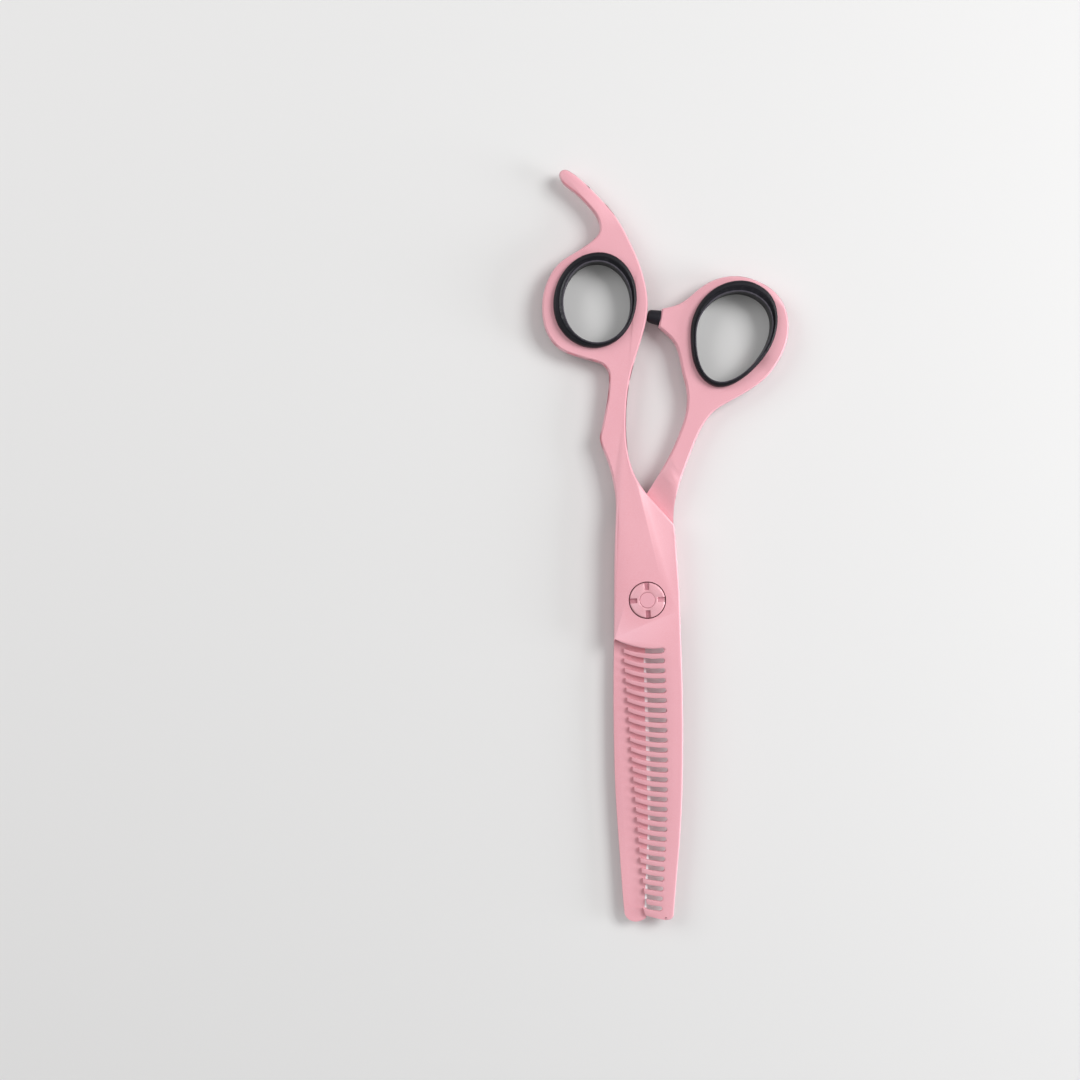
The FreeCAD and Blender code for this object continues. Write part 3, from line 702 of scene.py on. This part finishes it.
def rubber_material(name, dark, dusty, bead_highlight_colour, roughness):
    """Matt moulded rubber: a fine mould grain, a faint dusty bloom in patches, and a painted highlight along
    the upper bead.
    """
    material, nodes, links, shader = new_material(name)
    grain = group_node(nodes, SKIN_GRAIN, Broad=220.0, Fine=7000.0)
    bloom = ranged(nodes, links, grain.outputs["Broad"], 0.0, 1.0, 0.35, 0.8)
    skin = colour_mix(nodes, links, bloom, dark, dusty)
    # Painted highlight: the bead's top is coloured lighter, where the light catches it.
    bead_highlight = nodes.new("ShaderNodeAttribute")
    bead_highlight.attribute_name = "bead"
    coloured = colour_mix(nodes, links, bead_highlight.outputs["Fac"], skin, bead_highlight_colour)
    links.new(coloured, shader.inputs["Base Color"])
    dull = ranged(nodes, links, grain.outputs["Fine"], roughness - 0.07, roughness + 0.1)
    links.new(dull, shader.inputs["Roughness"])
    links.new(bumped(nodes, links, grain.outputs["Fine"], 0.012 * MM), shader.inputs["Normal"])
    shader.inputs["Specular IOR Level"].default_value = 0.3
    return material


RUBBER_BLACK = (0.004, 0.004, 0.007)
RUBBER_DUSTY = (0.009, 0.008, 0.013)
RUBBER_BEAD_HIGHLIGHT = (0.075, 0.068, 0.085)
rubber = rubber_material("ring_rubber_black", RUBBER_BLACK, RUBBER_DUSTY, RUBBER_BEAD_HIGHLIGHT, 0.45)
finger_insert = moulded_insert("finger_ring_insert", "finger_ring_insert_moulded")
finger_insert.data.materials.append(rubber)
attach(finger_insert, "finger_half")
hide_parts("finger_ring_insert")


# ---- Plain half ----------------------------------------------------------------------------------------
# The lower half: plain blade, shank, thumb ring and bumper arm, forged in one piece, coated like the other.
# The coat was ground off along the cutting edge when the blade was honed, so a strip of bare steel shows.

def plain_upper(face):
    return face.normal.z > 0.6 and face.calc_center_median().z > MID_Z + HALF_GAP


def plain_lower(face):
    below = face.calc_center_median().z < MID_Z - OUTER_SIDE
    return face.normal.z < -LEVEL and below and not in_head_recess(face)


RECESS_BOTTOM = 0.75 * MM


def in_head_recess(face):
    centre = face.calc_center_median()
    return centre.to_2d().length < POCKET_RADIUS and centre.z > RECESS_BOTTOM


thumb_low, thumb_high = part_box("thumb_ring_insert")
THUMB_CENTRE = (thumb_low + thumb_high) / 2


def thumb_dish(point):
    """The thumb ring is hollowed most on its outer lower side."""
    away = (point - THUMB_CENTRE).to_2d().normalized()
    return (0.35 + 0.95 * smooth_step(0.1, 1.0, away.dot(Vector((0.6, -0.8))))) * MM


STRIP_TOP = -12.6 * MM
STRIP_END = -69.6 * MM
STRIP_LEFT = -1.5 * MM
BACK_EDGE_RIGHT = -3 * MM
BACK_EDGE_BEVEL = 0.22 * MM
INNER_Z = MID_Z - HALF_GAP


def inner_face(face):
    return face.normal.z > 0.999 and abs(face.calc_center_median().z - INNER_Z) < 0.01 * MM


def blade_back_edge(edge):
    middle = (edge.verts[0].co + edge.verts[1].co) / 2
    walls = [face for face in edge.link_faces if abs(face.normal.z) < 0.3]
    tops = [face for face in edge.link_faces if inner_face(face)]
    at_back = STRIP_END < middle.y < STRIP_TOP and middle.x < BACK_EDGE_RIGHT
    return len(walls) == 1 and len(tops) == 1 and at_back


def on_honed_strip(face):
    place = face.center
    level = face.normal.z > 0.999 and abs(place.z - INNER_Z) < 0.01 * MM
    return level and STRIP_END < place.y < STRIP_TOP and place.x > STRIP_LEFT


plain = start_from("plain_half", "plain_half_coated")
for outer_face in (plain_upper, plain_lower):
    add_rim_loops(plain, outer_face)
choose_edges(plain, blade_back_edge)
bpy.ops.mesh.bevel(offset=BACK_EDGE_BEVEL, segments=3, affect="EDGES", clamp_overlap=True)
for y in (STRIP_TOP, STRIP_END):
    choose_faces(plain, inner_face)
    bpy.ops.mesh.bisect(plane_co=(0, y, 0), plane_no=(0, 1, 0))
bpy.ops.object.mode_set(mode="OBJECT")
sculpt(plain, plain_upper, 1, "thumb_ring_insert", past_the_lap(1), thumb_dish, no_ridge)
sculpt(plain, plain_lower, -1, "thumb_ring_insert", up_the_shank, even_dish, no_ridge)
bpy.ops.object.shade_smooth_by_angle(angle=math.radians(36))
plain.data.materials.append(pink)
# The bare honed strip is real; its near-white, non-metallic colour also stands in for the glint along it, a
# painted highlight.
honed = turned_metal("honed_steel", (0.88, 0.85, 0.87), (0.95, 0.93, 0.95), 0.36, metallic=0.0)
paint_faces(plain, honed, on_honed_strip)
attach(plain, "thumb_half")
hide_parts("plain_half")


# ---- Thumb ring insert ---------------------------------------------------------------------------------
# The same rubber moulding for the pear-shaped thumb ring. It has the same section all round, and follows the
# outline of its own CAD part.

thumb_insert = moulded_insert("thumb_ring_insert", "thumb_ring_insert_moulded")
thumb_insert.data.materials.append(rubber)
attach(thumb_insert, "thumb_half")
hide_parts("thumb_ring_insert")


# ---- Bumper stud and cap -------------------------------------------------------------------------------
# A turned steel stud, screwed into the thumb arm, holds the rubber cap that the finger ring closes on. The
# cap is moulded round a blind hole and pushed over the stud.

dress("bumper_stud", turned_metal("stud_steel_turned", (0.50, 0.50, 0.51), (0.66, 0.66, 0.67), 0.28))

cap = start_from("bumper_cap", "bumper_cap_moulded")
choose_edges(cap, lambda edge: edge.calc_face_angle(0) > math.radians(25))
bpy.ops.mesh.bevel(offset=0.16 * MM, segments=4, affect="EDGES", clamp_overlap=True)
bpy.ops.object.mode_set(mode="OBJECT")
bpy.ops.object.shade_smooth_by_angle(angle=math.radians(36))
BUMPER_BLACK = (0.007, 0.006, 0.01)
BUMPER_DUSTY = (0.015, 0.013, 0.019)
bumper_rubber = rubber_material("bumper_rubber_black", BUMPER_BLACK, BUMPER_DUSTY, (0.0, 0.0, 0.0), 0.5)
cap.data.materials.append(bumper_rubber)
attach(cap, "thumb_half")
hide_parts("bumper_cap")


# ---- Blade washer --------------------------------------------------------------------------------------
# A washer punched from white acetal sheet, sunk in the plain half, on which the comb half turns.

def sheet_plastic(name, dark, light):
    material, nodes, links, shader = new_material(name)
    grain = group_node(nodes, SKIN_GRAIN, Broad=500.0, Fine=5000.0)
    tint = ranged(nodes, links, grain.outputs["Broad"], 0.0, 1.0)
    links.new(colour_mix(nodes, links, tint, dark, light), shader.inputs["Base Color"])
    links.new(ranged(nodes, links, grain.outputs["Fine"], 0.3, 0.5), shader.inputs["Roughness"])
    links.new(bumped(nodes, links, grain.outputs["Fine"], 0.006 * MM), shader.inputs["Normal"])
    return material


dress("blade_washer", sheet_plastic("white_acetal", (0.66, 0.65, 0.61), (0.78, 0.77, 0.73)))


# ---- Pivot bolt ----------------------------------------------------------------------------------------
# Turned from steel bar, with a flat head let into the plain half, a square neck that keeps it from turning,
# and a threaded end. It was coated with the shears, so the end that shows in the dial's middle is pink.

dress("pivot_bolt", coat_material("bolt_coat", (0.74, 0.335, 0.385), (0.80, 0.39, 0.45), RIM_PINK, 0.0))


# ---- Friction washer and click spring ------------------------------------------------------------------
# Both are punched from spring steel strip and keyed to the bolt. The spring is domed, and its nibs click into
# the dial's detents.

def strip_steel(name, dark, light):
    material, nodes, links, shader = new_material(name)
    lines = group_node(nodes, GROUND_LINES, Across=5000.0, Along=150.0)
    grain = group_node(nodes, SKIN_GRAIN, Broad=450.0, Fine=6000.0)
    tint = ranged(nodes, links, grain.outputs["Broad"], 0.0, 1.0)
    links.new(colour_mix(nodes, links, tint, dark, light), shader.inputs["Base Color"])
    links.new(ranged(nodes, links, lines.outputs["Lines"], 0.24, 0.42), shader.inputs["Roughness"])
    links.new(bumped(nodes, links, lines.outputs["Lines"], 0.004 * MM), shader.inputs["Normal"])
    shader.inputs["Metallic"].default_value = 1.0
    return material


dress("friction_washer", strip_steel("washer_strip", (0.48, 0.48, 0.47), (0.62, 0.62, 0.61)))
dress("click_spring", strip_steel("spring_strip", (0.42, 0.40, 0.36), (0.58, 0.56, 0.52)))


# ---- Tension dial --------------------------------------------------------------------------------------
# A round nut turned from bar, with four milled finger notches, coated in the same pink. It screws down on the
# bolt's end and sets how tightly the halves meet.

dial = start_from("tension_dial", "tension_dial_coated")
choose_edges(dial, lambda edge: edge.calc_face_angle(0) > math.radians(35) and edge.verts[0].co.z > 5.2 * MM)
bpy.ops.mesh.bevel(offset=0.07 * MM, segments=2, affect="EDGES", clamp_overlap=True)
bpy.ops.object.mode_set(mode="OBJECT")
bpy.ops.object.shade_smooth_by_angle(angle=math.radians(36))


def dial_material(name):
    """The pink coat over lathe marks, which catch the light in rings and fans."""
    material, nodes, links, shader = new_material(name)
    rings = group_node(nodes, TURNED_RINGS, Scale=14000.0)
    grain = group_node(nodes, SKIN_GRAIN, Broad=260.0, Fine=5200.0)
    tint = ranged(nodes, links, grain.outputs["Broad"], 0.0, 1.0)
    colour = colour_mix(nodes, links, tint, (0.80, 0.39, 0.44), (0.90, 0.50, 0.56))
    links.new(colour, shader.inputs["Base Color"])
    links.new(ranged(nodes, links, rings.outputs["Rings"], 0.26, 0.38), shader.inputs["Roughness"])
    links.new(bumped(nodes, links, rings.outputs["Rings"], 0.006 * MM), shader.inputs["Normal"])
    shader.inputs["Metallic"].default_value = 0.15
    shader.inputs["Coat Weight"].default_value = 0.2
    shader.inputs["Coat Roughness"].default_value = 0.15
    return material


dial.data.materials.append(dial_material("dial_coat_turned"))
# The floors of the milled notches get a darker pink: painted shade in the recesses.
notch_painted_shade = coat_material("notch_painted_shade", (0.50, 0.16, 0.21), (0.58, 0.21, 0.26), RIM_PINK, 0.0)
paint_faces(dial, notch_painted_shade, lambda face: face.normal.z > 0.9 and face.center.z < 5.6 * MM)
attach(dial, "dial")
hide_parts("tension_dial")


# ---- Floor, lights and camera --------------------------------------------------------------------------

# A pale matt table under a large soft light from the right, with two weaker ones, seen straight from above.

deselect_all()
bpy.ops.mesh.primitive_plane_add(size=3)
floor = bpy.context.object
floor.name = "floor"
material, nodes, links, shader = new_material("pale_floor")
shader.inputs["Base Color"].default_value = (0.76, 0.755, 0.75, 1)
shader.inputs["Roughness"].default_value = 0.7
floor.data.materials.append(material)

world = bpy.data.worlds.new("studio")
bpy.context.scene.world = world
world.use_nodes = True
world.node_tree.nodes["Background"].inputs["Color"].default_value = (1, 1, 1, 1)
world.node_tree.nodes["Background"].inputs["Strength"].default_value = 0.36


def softbox(name, place, size, power, colour=(1, 1, 1)):
    data = bpy.data.lights.new(name, "AREA")
    data.size = size
    data.energy = power
    data.color = colour
    lamp = bpy.data.objects.new(name, data)
    bpy.context.scene.collection.objects.link(lamp)
    lamp.location = place
    lamp.rotation_euler = (-Vector(place)).to_track_quat("-Z", "Y").to_euler()


softbox("key", (0.6, 0.3, 0.7), 0.45, 5.6)
softbox("left_fill", (-0.55, 0.3, 0.5), 0.5, 2.0)
softbox("low_right", (0.7, -0.1, 0.18), 0.3, 3.0, (0.95, 0.97, 1.0))

view = bpy.data.cameras.new("camera")
camera = bpy.data.objects.new("camera", view)
bpy.context.scene.collection.objects.link(camera)
CAMERA_HEIGHT = 0.45
VIEW_WIDTH = 0.243
view.sensor_width = 36
view.lens = view.sensor_width * CAMERA_HEIGHT / VIEW_WIDTH
VIEW_CENTRE = (-0.02417, 0.01355)
UPPER_FACE_Z = 0.0057
camera.location = (*VIEW_CENTRE, CAMERA_HEIGHT + UPPER_FACE_Z)
bpy.context.scene.camera = camera
bpy.context.scene.view_settings.view_transform = "Standard"
